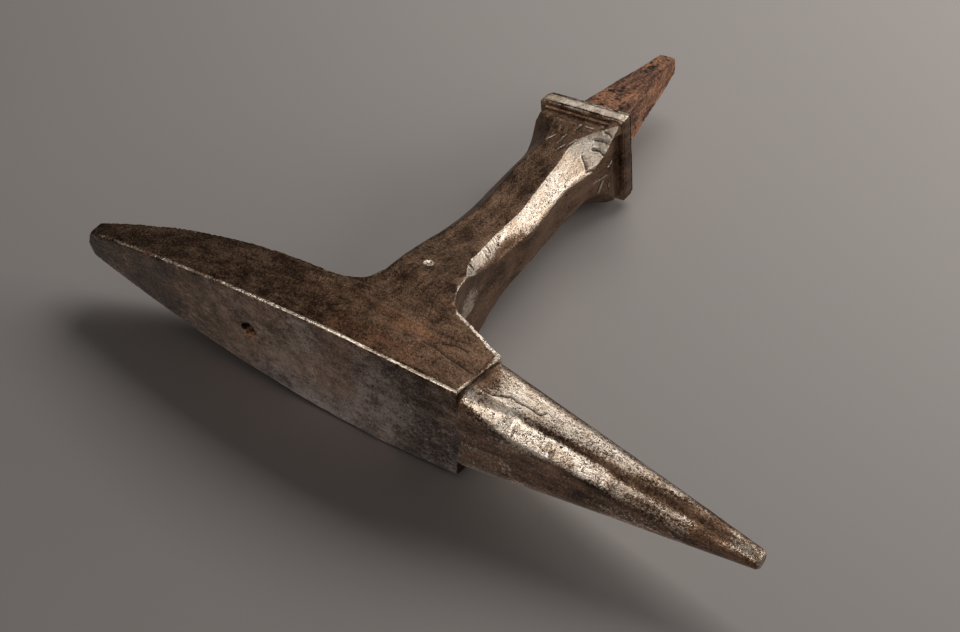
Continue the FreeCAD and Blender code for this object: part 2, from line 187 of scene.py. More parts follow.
class Skin:
    """The forging's surface as one mesh: places and normals in millimetres, how far each point is
    pushed out, and the marks that the materials read."""

    # The wear mark also holds painted shade in the horn's valley and the painted fall-off of the stem
    # facet's highlight.
    MARKS = ("wear_and_painted_shade", "light", "red", "grey", "rust", "grime", "filed")

    def __init__(self, mesh):
        self.mesh = mesh
        count = len(mesh.vertices)
        self.at = np.zeros(count * 3)
        mesh.vertices.foreach_get("co", self.at)
        self.at = self.at.reshape(-1, 3) / MM
        self.edges = np.zeros(len(mesh.edges) * 2, np.int32)
        mesh.edges.foreach_get("vertices", self.edges)
        self.edges = self.edges.reshape(-1, 2)
        self.degree = np.bincount(self.edges.ravel(), minlength=count)
        self.even_out(EVENING_ROUNDS)
        self.push = np.zeros(count)
        self.marks = {mark: np.zeros(count) for mark in self.MARKS}

    def take_normals(self):
        """Reads the normals, finds how far edges stand out and sorts the points for searching."""
        self.write_points()
        normal = np.zeros(self.at.size)
        self.mesh.vertices.foreach_get("normal", normal)
        self.normal = normal.reshape(-1, 3)
        form = self.at
        for _ in range(FORM_ROUNDS):
            form = self.neighbour_mean(form)
        self.edge = np.sum((self.at - form) * self.normal, axis=1)
        self.tree = kdtree.KDTree(len(self.at))
        for index, point in enumerate(self.at):
            self.tree.insert(point, index)
        self.tree.balance()

    def neighbour_mean(self, values):
        total = np.zeros_like(values)
        for near, far in ((0, 1), (1, 0)):
            for axis in range(3):
                total[:, axis] += np.bincount(self.edges[:, near], values[self.edges[:, far], axis],
                                              len(values))
        return total / self.degree[:, None]

    def even_out(self, rounds):
        """Smoothing in pairs of a shrinking and a growing step, so that the form keeps its size."""
        for _ in range(rounds):
            for step in (SHRINKING, GROWING):
                self.at = self.at + step * (self.neighbour_mean(self.at) - self.at)

    def write_points(self):
        self.mesh.vertices.foreach_set("co", (self.at * MM).ravel())
        self.mesh.update()

    def soften(self, share, rounds):
        """Rounds the surface over where share is above 0."""
        for _ in range(rounds):
            self.at = self.at + share[:, None] * (self.neighbour_mean(self.at) - self.at)

    def noise(self, size, seed, stretch=(1, 1, 1)):
        return noise(self.at, size, seed, stretch)

    def facing(self, direction, start, end):
        """1 where the surface faces this way, 0 where it doesn't. start and end are cosines."""
        return smooth(self.normal @ unit(direction), start, end)

    def spot(self, centre, radius, stretch=(1, 1, 1)):
        """1 at the centre, falling to 0 at the radius."""
        gap = np.linalg.norm((self.at - centre) / np.array(stretch), axis=1)
        return 1 - smooth(gap, 0, radius)

    def along(self, path, width):
        """1 on the path, falling to 0 at width from it."""
        nearest = np.full(len(self.at), FAR)
        path = [np.array(point, float) for point in path]
        for start, end in zip(path, path[1:]):
            line = end - start
            share = np.clip((self.at - start) @ line / (line @ line), 0, 1)
            gap = np.linalg.norm(self.at - start - share[:, None] * line, axis=1)
            nearest = np.minimum(nearest, gap)
        return 1 - smooth(nearest, 0, width)

    def surface(self, point):
        """The nearest place on the surface."""
        return self.at[self.tree.find(point)[1]]

    def add(self, mark, amount):
        self.marks[mark] += amount

    def settle(self, low, high):
        """Moves the points by their push, keeps them in the box and writes the marks to the mesh."""
        self.at = np.clip(self.at + self.push[:, None] * self.normal, low, high)
        self.write_points()
        self.marks = {mark: np.clip(values, 0, 1) for mark, values in self.marks.items()}
        self.write_marks(self.mesh, {**self.marks, "whole": np.ones(len(self.at))})

    def write_marks(self, mesh, marks):
        for mark, values in marks.items():
            attribute = mesh.attributes.get(mark) or mesh.attributes.new(mark, "FLOAT", "POINT")
            attribute.data.foreach_set("value", values.astype(np.float32))

    def mark_cuts(self, mesh):
        """Gives the points that a cut has made in this mesh the marks of the nearest skin."""
        count = len(mesh.vertices)
        found = {mark: np.zeros(count, np.float32) for mark in (*self.MARKS, "whole")}
        for mark, values in found.items():
            mesh.attributes[mark].data.foreach_get("value", values)
        for index in np.flatnonzero(found.pop("whole") < WHOLE):
            nearest = self.tree.find(mesh.vertices[index].co / MM)[1]
            for mark, values in found.items():
                values[index] = self.marks[mark][nearest]
        self.write_marks(mesh, found)
        mesh.attributes.remove(mesh.attributes["whole"])


def remeshed_frame():
    """All the frame's solids welded into one closed surface of even small faces."""
    joined = bmesh.new()
    for node in frame["nodes"].values():
        joined.from_mesh(node.data)
    mesh = bpy.data.meshes.new("joined")
    joined.to_mesh(mesh)
    joined.free()
    helper = mesh_object("joined", mesh)
    modifier = helper.modifiers.new("weld", "REMESH")
    modifier.mode = "VOXEL"
    modifier.voxel_size = VOXEL * MM
    skin = apply_modifiers(helper)
    remove(helper)
    return skin


skin = Skin(remeshed_frame())

# ---------------------------------------------------------------- rounding before the marks

# The bright corner facet's crisp near border, as x at these heights
BORDER_HEIGHTS = (COLLAR_TOP, FOOT_TOP - 16, FOOT_TOP + 24, NECK + 16, NECK + 55, UNDER_HEAD)
BORDER_X = (-27, -11, -11, -14, -19, -31)
STEM_REACH = (24, 38)            # the stem's half width at the neck and under the head
FACET_WIDTH = 16.0
FACET_FADE = 22.0                # past the facet the rounding fades over this width
# How far the rounding moves the facet along X and along Y
ROUNDING_ASIDE = 3.0
ROUNDING_BACK = 1.5
# The soft edge where the facet meets the stem's horn side
FAR_FACET_EDGE = [(shank_low[0] + 2, -13, FOOT_TOP + 54), (-22, -15, FOOT_TOP + 12),
                  (-25, -12, FOOT_TOP - 18)]
FAR_EDGE_WIDTH = 9.0
RIM_DEPTH = 12.0                 # the face's worn rim reaches this deep
MOUTH_REACH = HOLE_RADIUS + 5    # the hole's worn mouth reaches this far from its middle


def near_border(height):
    """Where the bright corner facet's crisp near border is at these heights, as x."""
    return np.interp(height, BORDER_HEIGHTS, BORDER_X)


def round_the_corner():
    """Between the neck and the head the bright facet curves away from its crisp near border."""
    x, y, z = skin.at.T
    forward = np.interp(z, (NECK, UNDER_HEAD), STEM_REACH)
    across = ((near_border(z) - x) + (y + forward)) / math.sqrt(2)
    fade = 1 - smooth(across, FACET_WIDTH, FACET_WIDTH + FACET_FADE)
    curve = np.clip(across / FACET_WIDTH, 0, 1) ** 2 * fade
    length = window(z, NECK - 15, NECK + 21, UNDER_HEAD + 2, UNDER_HEAD + 22) * (x < 0)
    skin.at[:, 0] += ROUNDING_ASIDE * curve * length
    skin.at[:, 1] += ROUNDING_BACK * curve * length


def near_rim():
    """1 around the face's near edge, clear of the horn and of the punched hole."""
    x, y, z = skin.at.T
    off_hole = smooth(np.hypot(x - HOLE_AT, y), MOUTH_REACH, MOUTH_REACH + 3)
    height = smooth(z, FACE - RIM_DEPTH, FACE - RIM_DEPTH + 4)
    return (y < 0) * height * smooth(x, SHOULDER, SHOULDER + 2) * off_hole


round_the_corner()
skin.soften(skin.along(FAR_FACET_EDGE, FAR_EDGE_WIDTH), SOFT_EDGE_ROUNDS)
skin.take_normals()
rim_zone = near_rim()
skin.soften(rim_zone * smooth(skin.edge, 0.1, 0.4), RIM_ROUNDS)
skin.take_normals()
x, y, z = skin.at.T

# Where on the forging a point is, each from 0 to 1. Neighbouring zones fade into each other.
in_horn = smooth(-x, -SHOULDER, -SHOULDER + 2) * smooth(z, STEM_TOP, STEM_TOP + 20)
in_head = (1 - in_horn) * smooth(z, STEM_TOP, STEM_TOP + HEAD_FADE)
in_tang = 1 - smooth(z, -1.5, 0)
in_collar = (1 - in_tang) * (1 - smooth(z, COLLAR_TOP - COLLAR_FADE, COLLAR_TOP + COLLAR_FADE))
in_foot = window(z, COLLAR_TOP - COLLAR_FADE, COLLAR_TOP + COLLAR_FADE, FOOT_TOP - FOOT_FADE,
                 FOOT_TOP + FOOT_FADE)
in_stem = window(z, FOOT_TOP - FOOT_FADE, FOOT_TOP + FOOT_FADE, STEM_TOP, STEM_TOP + HEAD_FADE)
on_face = skin.facing((0, 0, 1), 0.8, 0.97) * in_head
near_cheek = skin.facing((0, -1, 0), 0.8, 0.97)
sharp = smooth(skin.edge, 0.18, 0.6)
hollow = smooth(-skin.edge, 0.15, 0.8)

# ---------------------------------------------------------------- the hammer, wear and rust

HAMMER_FLATS = ((24, 0.30, 11), (9, 0.18, 12))     # how wide, how deep, and a seed
# The fire's scale left finer bumps than the hammer
SCALE_SIZE = 3.2
SCALE_DEPTH = 0.09


def hammer_marks():
    """The hammer's uneven flats, weaker on the dressed face and horn, and the scale's bumps."""
    strength = 1 - 0.6 * on_face - 0.65 * in_horn
    for size, depth, seed in HAMMER_FLATS:
        skin.push += strength * (depth * skin.noise(size, seed) - depth)
    skin.push += (0.5 + 0.8 * in_tang) * (SCALE_DEPTH * skin.noise(SCALE_SIZE, 13) - SCALE_DEPTH)


# How bright the face's near edge is rubbed at these places along it
RIM_WEAR = ((SHOULDER, 0.80), (-40, 0.65), (0, 1.1), (92, 1.1), (112, 0.6), (168, 0.4), (HEEL, 0.2))


def rim_wear():
    """The wear of the face's near edge, from the shoulder to the heel's end."""
    places, amounts = zip(*RIM_WEAR)
    upward = skin.normal[:, 2]
    rim = window(upward, 0.1, 0.4, 0.96, 0.995) * rim_zone
    broken = np.clip(0.75 + 0.7 * skin.noise(4, seed=24, stretch=(3, 1, 1)), 0, 1)
    return rim * broken * np.interp(x, places, amounts)


SHOULDER_LINE = [(SHOULDER, -CHEEK + 3, FACE - 3), (SHOULDER_FOOT, -CHEEK + 3, block_low[2] + 12)]
CHEEK_BORDER = [(-30, -CHEEK + 1, FACE - 75), (-44, -CHEEK + 1, FACE - 56), (-65, -CHEEK + 2, FACE - 47),
                (SHOULDER_FOOT, -CHEEK + 3, FACE - 39)]
BORDER_WIDTH = 4.0
# How much of an edge is rubbed bright: any edge, and more at the shoulder, the cheek and the collar
EDGE_WEAR = 0.12
SHOULDER_WEAR = 1.1
CHEEK_WEAR = 0.65
COLLAR_WEAR = 0.4


def worn_edges():
    """Edges are rubbed a little bright and chipped, the face's near edge most, and hollows are dirty."""
    chips = smooth(skin.noise(2.6, seed=21), 0.15, 0.8)
    skin.push -= sharp * (0.10 + 0.35 * chips * (y < 0))
    shoulder = skin.along(SHOULDER_LINE, BORDER_WIDTH)
    border = skin.along(CHEEK_BORDER, BORDER_WIDTH)
    collar = in_collar * skin.facing((0.1, -1, 0), 0.5, 0.8)
    amount = EDGE_WEAR + SHOULDER_WEAR * shoulder + CHEEK_WEAR * border + COLLAR_WEAR * collar
    fade = 0.85 + 0.5 * skin.noise(6, seed=22)
    skin.add("wear_and_painted_shade", sharp * fade * amount * (1 - in_tang) * (1 - 0.7 * in_horn))
    skin.add("wear_and_painted_shade", rim_wear())
    by_collar = smooth(z, COLLAR_TOP - 3, COLLAR_TOP - 1) * (z < COLLAR_TOP + 10)
    cleaned = skin.facing((0, -1, 0.3), 0.3, 0.7) * by_collar
    skin.add("grime", hollow * (1 - 0.8 * cleaned) * (0.50 + 0.3 * skin.noise(6, seed=23)))


def pits(count, radius, depth, density, seed):
    """Round rust pits at random places; density says where they are likely. Their radius and depth
    are each random between two ends."""
    random = np.random.default_rng(seed)
    share = density / density.sum()
    centres = random.choice(len(skin.at), count, p=share)
    for centre in centres:
        reach = random.uniform(*radius)
        fall = random.uniform(*depth)
        for _, index, gap in skin.tree.find_range(skin.at[centre], reach):
            bowl = (1 - (gap / reach) ** 2) ** 2
            skin.push[index] -= fall * bowl
            skin.marks["grime"][index] += 0.6 * bowl


def rust_pits():
    """Small pits on the horn, wider ones on the head and stem, and deep ones on the tang."""
    patchy = np.clip(0.6 + skin.noise(16, seed=31), 0.05, None)
    body = in_head + in_stem + 0.3 * in_foot
    pits(1300, radius=(0.7, 1.2), depth=(0.06, 0.22), density=patchy * (in_horn + 0.002), seed=32)
    pits(2200, radius=(0.8, 2.0), depth=(0.06, 0.24), density=patchy * body, seed=33)
    pits(900, radius=(0.9, 2.6), depth=(0.15, 0.6), density=patchy * (in_tang + 0.001), seed=34)


def punched_hole():
    """The hole was driven with a squarish punch; its mouth is worn and its wall is rusty."""
    offset = skin.at[:, :2] - (HOLE_AT, 0)
    gap = np.hypot(*offset.T)
    angle = np.arctan2(offset[:, 1], offset[:, 0])
    squareness = 0.09 * np.cos(4 * angle + 0.6) + 0.06 * np.cos(3 * angle + 1.1) - 0.08
    reach = 1 - smooth(gap, HOLE_RADIUS + 0.5, MOUTH_REACH)
    shift = squareness * HOLE_RADIUS * reach / np.maximum(gap, 1)
    skin.at[:, :2] += offset * shift[:, None]
    wall = (1 - smooth(gap, HOLE_RADIUS + 0.2, HOLE_RADIUS + 0.8)) * (z > HOLE_END)
    rusty = wall * smooth(y, 1, 3) * smooth(z, FACE - 16, FACE - 7)
    skin.add("rust", 0.9 * rusty)
    skin.add("grime", wall - 0.9 * rusty)
    skin.marks["wear_and_painted_shade"] *= 1 - wall
    mouth = (1 - smooth(gap, HOLE_RADIUS + 1, MOUTH_REACH)) * on_face
    skin.push -= 0.5 * mouth
    skin.add("wear_and_painted_shade", 0.15 * mouth * smooth(skin.noise(5, seed=35), -0.2, 0.6))


# ---------------------------------------------------------------- single marks


def groove(path, width, depth, grime, burr=0.0):
    """A cut along the path, whose points are first drawn on to the surface. A burr of this height
    stands on its lower side."""
    path = [skin.surface(point) for point in path]
    cut = skin.along(path, width)
    skin.push -= depth * cut
    skin.add("grime", grime * smooth(cut, 0.3, 0.9))
    if burr:
        rim = skin.along([point - (0, 0, width) for point in path], width)
        skin.push += burr * rim
        skin.add("wear_and_painted_shade", 0.8 * rim)


def dress(path, normal, depth, softness, where):
    """Files a flat along the path: what stands beyond the plane, set depth below the surface, goes."""
    start, end = [skin.surface(point) for point in path]
    run = unit(end - start)
    normal = unit(normal)
    normal = unit(normal - run * (normal @ run))
    beyond = (skin.at - start) @ normal + depth
    skin.push -= where * softness * np.logaddexp(0, beyond / softness)
    return where * smooth(beyond, -1.8, 0.6)


# The corner flats along the horn: where each starts and ends as distances from the shoulder, how far
# it leans to the near side, how deep it is cut and over what length it starts and ends
CORNER_FLATS = (
    (1, 35, 0.60, 1.9, 2.5),
    (35, 59, 0.47, 1.6, 1.5),
    (59, 95, 0.50, 1.4, 4),
    (95, 150, 0.40, 1.0, 9),
)
FLAT_SOFTNESS = 0.7
OUTSIDE = 60.0                   # a place this far from the horn's axis is outside the horn


def horn_facets():
    """The horn's upper near corner is forged in short flats that step down towards the tip."""
    for start, end, lean, depth, blend in CORNER_FLATS:
        start = SHOULDER - start
        end = SHOULDER - end
        where = window(-x, -start - blend, -start + blend, -end - blend, -end + blend)
        upright = math.sqrt(1 - lean * lean)
        corner = [(place, -lean * OUTSIDE, HORN_AXIS + upright * OUTSIDE) for place in (start, end)]
        flat = dress(corner, (0, -lean, upright), depth, FLAT_SOFTNESS, where * in_horn)
        skin.add("wear_and_painted_shade", 0.50 * flat)


VALLEY = [(SHOULDER - 38, -26, HORN_AXIS + 14), (SHOULDER - 60, -22, HORN_AXIS + 12),
          (SHOULDER - 116, -13, HORN_AXIS + 10), (SHOULDER - 160, -9, HORN_AXIS + 6)]
VALLEY_WIDTH = 14.0
VALLEY_DEPTH = 0.6


def horn_valley():
    """A shallow trough runs along the near side, beside the corner flats; it is painted darker brown as
    painted shade.
    """
    trough = skin.along([skin.surface(point) for point in VALLEY], VALLEY_WIDTH)
    skin.push -= VALLEY_DEPTH * trough
    # painted shade: the trough is painted darker, with less bare steel
    skin.add("wear_and_painted_shade", -0.42 * trough)


# The open lap's bends, as x from the shoulder and distance down from the face
LAP = ((-9, 16), (-14.5, 16), (-18.5, 18.5), (-24, 22), (-29, 21.5), (-36.5, 22), (-44, 21.5), (-46, 24.5))
LAP_SET_BACK = 6.5               # the horn's near side stands this far behind the cheek at the shoulder
HORN_TAPER = 0.11                # and this much further back for each mm along the horn
LAP_WIDTH = 0.95
LAP_DEPTH = 0.5
LAP_GRIME = 1.1


def horn_crack():
    """An open lap in the forging, below the shoulder."""
    path = [(SHOULDER + along, -CHEEK + LAP_SET_BACK - HORN_TAPER * along, FACE - down)
            for along, down in LAP]
    groove(path, LAP_WIDTH, LAP_DEPTH, LAP_GRIME)


# Chisel cuts across the bright facet, as places above the collar's underside
GOUGES = (
    ((-23, -32, 26), (-25, -31, 24), (-28, -30, 25)),
    ((-19, -28, 32), (-24, -27, 29), (-29, -24, 27)),
    ((-20, -23, 37), (-24, -22, 34), (-28, -19, 34)),
    ((-17, -21, 45), (-20, -18, 47), (-23, -15, 49)),
    ((-24, -14, 50), (-26, -13, 45)),
)
# Short nicks: each runs from one place across the foot's side and height to another
NEAR_NICKS = (
    ((15, 32), (16, 27)), ((-3, 32), (-4, 27)), ((-8, 27), (-14, 27)), ((-18, 26), (-17, 20)),
    ((11, 48), (8, 42)), ((-6, 47), (-8, 42)), ((2, 47), (1, 40)), ((-1, 55), (-3, 49)), ((7, 36), (9, 31)),
)
HORN_SIDE_NICKS = (((-8, 31), (-11, 27)), ((6, 31), (16, 30)), ((9, 42), (1, 37)), ((-3, 44), (-2, 33)))
FOOT_SIDE = -30.0                # both of these sides of the foot are about here


def gouges():
    """Chisel cuts across the bright facet where it widens at the foot."""
    for cut in GOUGES:
        groove(cut, width=1.9, depth=1.0, grime=0.75)


def nicks():
    """Short chisel nicks across the foot's near side and its horn side."""
    cuts = [[(place, FOOT_SIDE, height) for place, height in cut] for cut in NEAR_NICKS]
    cuts += [[(FOOT_SIDE, place, height) for place, height in cut] for cut in HORN_SIDE_NICKS]
    for cut in cuts:
        groove(cut, width=1.3, depth=0.7, grime=0.8, burr=0.2)


# Lines on the near cheek: their bends as x and distance down from the face, then width, depth and grime
CHEEK_LINES = (
    (((-39, 24), (-49, 24), (-60, 22), (-77, 20)), 1.2, 0.5, 0.9),
    (((-50, 29), (-57, 32), (-66, 32)), 1.2, 0.6, 1.0),
    (((-12, 20), (-22, 22), (-35, 23)), 1.0, 0.4, 0.7),
)
DING = (-2, -37, FACE - 84)
DING_RADIUS = 4.6


def cheek_marks():
    """The facing's weld line and slag threads near the shoulder, and a bright ding on the stem."""
    for bends, width, depth, grime in CHEEK_LINES:
        groove([(place, -CHEEK, FACE - down) for place, down in bends], width, depth, grime)
    ding = skin.surface(DING)
    bruise = skin.spot(ding, DING_RADIUS)
    skin.push -= 0.5 * bruise
    skin.add("wear_and_painted_shade", 0.9 * smooth(bruise, 0.05, 0.35))
    groove([ding + (0, 0, -2.5), ding + (0.4, 0, 2.5)], width=0.8, depth=0.3, grime=0.9)


ROUND_RIM = 6.5                  # the collar's lower rim is beaten round up to this height
COLLAR_LINE = COLLAR_TOP - 2.4   # height of the hollow line near the foot
COLLAR_LINE_WIDTH = 0.7


def collar_round():
    """The collar's rim is beaten round towards the tang and has a hollow line near the foot. The
    band between them is rubbed bright on the near side."""
    lower = smooth(ROUND_RIM - z, 0, ROUND_RIM) * (1 - in_tang) * (skin.edge > -0.2)
    sideways = 1 - np.abs(skin.normal[:, 2])
    skin.push -= 2.6 * lower * sideways
    line = np.exp(-((z - COLLAR_LINE) / COLLAR_LINE_WIDTH) ** 2) * in_collar * sideways
    skin.push -= 0.45 * line
    skin.add("grime", 0.55 * line)
    band = window(z, 3, 6, COLLAR_LINE - 2, COLLAR_LINE - 0.6) * in_collar
    near = skin.facing((0, -1, 0), 0.8, 0.95)
    skin.add("wear_and_painted_shade", band * near * (0.80 + 0.35 * skin.noise(5, seed=61)))


# ---------------------------------------------------------------- broad wear and colour

FACET_BRIGHT = 0.80
OTHER_FACETS_BRIGHT = 0.12
# How much less bright the facet is painted on its far side than along its near border, at these heights: the
# painted fall-off of its highlight
PAINTED_FALLOFF_HEIGHTS = (NECK - 74, NECK - 39, NECK - 20, NECK, NECK + 20)
PAINTED_FALLOFF = (0.06, 0.24, 0.28, 0.45, 0.80)
PAINTED_FALLOFF_START = 2.0              # the painted fall-off starts this far in from the near border
PAINTED_FALLOFF_ENDS = (18, 8)           # and is full this far in, lower on the stem and near the neck


def facets_of_the_stem():
    """The near corner facet is draw-filed bright, with a painted fall-off of its highlight towards its far
    side; the other three are duller.
    """
    length = window(z, COLLAR_TOP + 1, COLLAR_TOP + 4, UNDER_HEAD - 2, UNDER_HEAD + 4)
    level = np.maximum(np.hypot(skin.normal[:, 0], skin.normal[:, 1]), 0.2)
    heading = (-skin.normal[:, 0] - skin.normal[:, 1]) / level / math.sqrt(2)
    upper = smooth(z, NECK - 4, NECK + 26)
    facet = smooth(heading, 0.84, 0.95) * (1 - upper)
    inward = near_border(z) - x
    rounded = smooth(inward, -0.8, 0.8) * smooth(heading, 0.62, 0.9) * (y < 0)
    # painted highlight fall-off: the facet is painted less bright away from its near border
    painted_falloff = np.interp(z, PAINTED_FALLOFF_HEIGHTS, PAINTED_FALLOFF)
    painted_falloff_end = np.interp(z, (NECK - 39, NECK + 21), PAINTED_FALLOFF_ENDS)
    bright = FACET_BRIGHT - painted_falloff * smooth(inward, PAINTED_FALLOFF_START, painted_falloff_end)
    skin.add("wear_and_painted_shade", (facet + rounded * upper) * bright * length)
    filed = window(z, NECK + 11, NECK + 26, UNDER_HEAD - 18, UNDER_HEAD - 4)
    skin.add("filed", rounded * filed * smooth(bright, 0.45, 0.7) * (0.7 + 0.6 * skin.noise(14, seed=62)))
    for direction in ((1, -1, 0), (1, 1, 0), (-1, 1, 0)):
        skin.add("wear_and_painted_shade", OTHER_FACETS_BRIGHT * skin.facing(direction, 0.93, 0.975) * length)


def horn_wear():
    """The horn is bare pitted steel on its near side, and brown above, below and at its two ends."""
    upward = skin.normal[:, 2]
    bare = 1 - 0.60 * smooth(upward, 0.80, 0.95) - 0.45 * smooth(-upward, 0.35, 0.8)
    patch = 0.14 * skin.noise(16, seed=41, stretch=(2.5, 1, 1))
    patch += 0.10 * skin.noise(5, seed=42, stretch=(2, 1, 1))
    root = skin.spot((SHOULDER - 6, -CHEEK + 4, FACE - 27), 20, stretch=(0.8, 1, 1))
    tip = smooth(-x, -HORN_END - 45, -HORN_END)
    skin.add("wear_and_painted_shade", in_horn * (0.62 * bare + patch - 0.45 * root - 0.25 * tip))
    skin.add("red", in_horn * (0.45 * smooth(upward, 0.7, 0.95) + 0.3 * root))


# The middles of the cheek's light and reddish parts and of the face's light part
LIGHT_CHEEK = (-30, -CHEEK, FACE - 25)
RED_CHEEK = (-4, -CHEEK, FACE - 18)
LIGHT_FACE = (25, 8, FACE)
# Small rusty spots on the cheek's border, on the horn and at its tip, with their radii
RUST_SPOTS = (
    ((-37, -CHEEK, FACE - 61), 5),
    ((HORN_END + 52, -13, FACE - 25), 5),
    ((HORN_END + 6, 0, FACE - 20), 7),
)


def patina():
    """How light, grey, reddish or rusty the old surface is from place to place."""
    streak = skin.noise(4, seed=51, stretch=(9, 1, 1))
    skin.add("wear_and_painted_shade", (1 - in_horn) * (0.10 + 0.10 * skin.noise(18, seed=52) + 0.08 * skin.noise(6, seed=53)))
    skin.add("light", 0.40 + 0.26 * skin.noise(22, seed=56) + 0.22 * skin.noise(8, seed=57))
    heel_dark = smooth(x, 60, 175)
    shoulder_dark = smooth(-x, -5, 45) * in_head
    skin.add("light", (0.20 - 0.50 * heel_dark - 0.30 * shoulder_dark) * on_face)
    skin.add("light", 0.25 * near_cheek * skin.spot(LIGHT_CHEEK, 70, stretch=(1, 1, 0.4)))
    skin.add("light", 0.30 * in_foot + 0.35 * in_stem * skin.facing((-1, 0, 0), 0.6, 0.9))
    below_cheek = in_stem + smooth(FACE - z, 40, 60) * in_head
    skin.add("light", -0.12 * below_cheek * skin.facing((0, -1, 0), 0.7, 0.95))
    skin.add("red", near_cheek * skin.spot(RED_CHEEK, 110, stretch=(1, 1, 0.30)) * (0.85 + 0.8 * streak))
    skin.add("grey", on_face * (0.55 - 0.5 * heel_dark + 0.35 * skin.noise(26, seed=54)))
    light = skin.spot(LIGHT_FACE, 55, stretch=(1, 0.45, 1)) * (0.7 + 0.5 * skin.noise(10, seed=55))
    skin.add("wear_and_painted_shade", 0.14 * light * on_face)
    skin.add("light", 0.30 * light * on_face)
    skin.add("rust", in_tang)
    for place, reach in RUST_SPOTS:
        skin.add("rust", 0.8 * skin.spot(skin.surface(place), reach))


horn_facets()
horn_valley()
hammer_marks()
worn_edges()
rust_pits()
punched_hole()
horn_crack()
gouges()
nicks()
cheek_marks()
collar_round()
facets_of_the_stem()
horn_wear()
patina()
skin.settle(np.array(cad_low) / MM, np.array(cad_high) / MM)

# ---------------------------------------------------------------- the pieces


def prism(corners):
    """A cutter across the whole width, from corners (x, z) of the side view."""
    solid = bmesh.new()
    near = [solid.verts.new((cx * MM, -FAR * MM, cz * MM)) for cx, cz in corners]
    far = [solid.verts.new((cx * MM, FAR * MM, cz * MM)) for cx, cz in corners]
    solid.faces.new(near)
    solid.faces.new(far[::-1])
    for index in range(len(corners)):
        after = (index + 1) % len(corners)
        solid.faces.new((near[after], near[index], far[index], far[after]))
    bmesh.ops.recalc_face_normals(solid, faces=solid.faces)
    mesh = bpy.data.meshes.new("cutter")
    solid.to_mesh(mesh)
    solid.free()
    return mesh_object("cutter", mesh)


def square_post(half_width, bottom, top, offset=0.0):
    """A cutter of square section that stands in the foot's turned axes."""
    solid = bmesh.new()
    bmesh.ops.create_cube(solid, size=1)
    for vert in solid.verts:
        place = Vector((vert.co.x * 2 * half_width + offset, vert.co.y * 2 * half_width,
                        bottom + (vert.co.z + 0.5) * (top - bottom)))
        vert.co = Matrix.Rotation(FOOT_TURN, 3, "Z") @ place * MM
    mesh = bpy.data.meshes.new("cutter")
    solid.to_mesh(mesh)
    solid.free()
    return mesh_object("cutter", mesh)


def combined(body, cutter, operation):
    """The body's mesh after this boolean operation with the cutter."""
    modifier = body.modifiers.new("cut", "BOOLEAN")
    modifier.object = cutter
    modifier.operation = operation
    modifier.solver = "MANIFOLD"
    mesh = apply_modifiers(body)
    body.modifiers.remove(modifier)
    return mesh


def split(body, cutter):
    """Parts the body in two: what lies in the cutter and what is left."""
    inside = mesh_object("inside", combined(body, cutter, "INTERSECT"))
    outside = mesh_object("outside", combined(body, cutter, "DIFFERENCE"))
    remove(body)
    remove(cutter)
    return inside, outside


TANG_ROOT_HALF_WIDTH = 21.0
TANG_OFFSET = 1.8                # the tang stands this far from the foot's axis, heel side
TENON_HALF_WIDTH = 14.0
SCARF_LEAN = 0.4375              # the heel's scarf leans towards the heel by this for each mm down
SCARF_END = FACE - 64            # the scarf's cut stops at this height, below the head
HIDDEN = 2.0                     # the tang's root overlaps what is below the collar by this
# Where a glut's seams lead from the corner that they share inside the head: the seam on the stem
# leans this far and ends this far below the glut, the one under the head runs this far and falls this far
HEEL_GLUT_SEAMS = ((8, 47), (65, 18))
HORN_GLUT_SEAMS = ((9, 8), (46, 17))
# The shank's welded end is a blunt ridge: where its crest is along X, its height, and half its reach
RIDGE_AT = -2.0
RIDGE_HEIGHT = 25.0
RIDGE_REACH = 58.0


def tang_cutter():
    """Everything under the collar, with the tang's root and its tenon."""
    cutter = square_post(FAR, -FAR, 0)
    for post in (square_post(TANG_ROOT_HALF_WIDTH, -HIDDEN, COLLAR_TOP, TANG_OFFSET),
                 square_post(TENON_HALF_WIDTH, 0, tang_high[2])):
        joined = combined(cutter, post, "UNION")
        remove(cutter)
        remove(post)
        cutter = mesh_object("cutter", joined)
    return cutter


def facing_cutter():
    """The face steel, above a seam that bends at the shoulder and at the stem."""
    slope = (SEAM_AT_HEEL - SEAM_AT_STEM) / heel_high[0]
    return prism([(-FAR, SEAM_AT_SHOULDER), (SHOULDER, SEAM_AT_SHOULDER), (0, SEAM_AT_STEM),
                  (FAR, SEAM_AT_STEM + slope * FAR), (FAR, FAR), (-FAR, FAR)])


def horn_cutter():
    """Everything beyond the leaning shoulder."""
    lean = (SHOULDER_FOOT - SHOULDER) / (horn_high[2] - FACE + SHOULDER_DEPTH)
    top, bottom = FAR, STEM_TOP
    return prism([(SHOULDER + lean * (horn_high[2] - top), top), (-FAR, top), (-FAR, bottom),
                  (SHOULDER + lean * (horn_high[2] - bottom), bottom)])


def glut_cutter(corner, bottom, seams, side):
    """A wedge in the inner corner between the stem and the head, on the heel side if side is 1."""
    x, top = corner
    (lean, deeper), (run, fall) = seams
    return prism([(x + side * lean, bottom - deeper), (x, top), (x + side * run, top - fall),
                  (x + side * run, bottom - deeper)])


def shank_cutter():
    """The stem, up to the ridge of its welded end."""
    top = shank_high[2]
    eaves = top - RIDGE_HEIGHT
    return prism([(-RIDGE_REACH, eaves), (RIDGE_AT, top), (RIDGE_REACH, eaves), (RIDGE_REACH, 0),
                  (-RIDGE_REACH, 0)])


def heel_cutter():
    """The heel's core, beyond its leaning scarf."""
    start = heel_low[0] + SCARF_LEAN * (heel_high[2] - FACE)
    return prism([(start + SCARF_LEAN * (FACE - SCARF_END), SCARF_END), (start, FACE), (FAR, FACE),
                  (FAR, SCARF_END)])


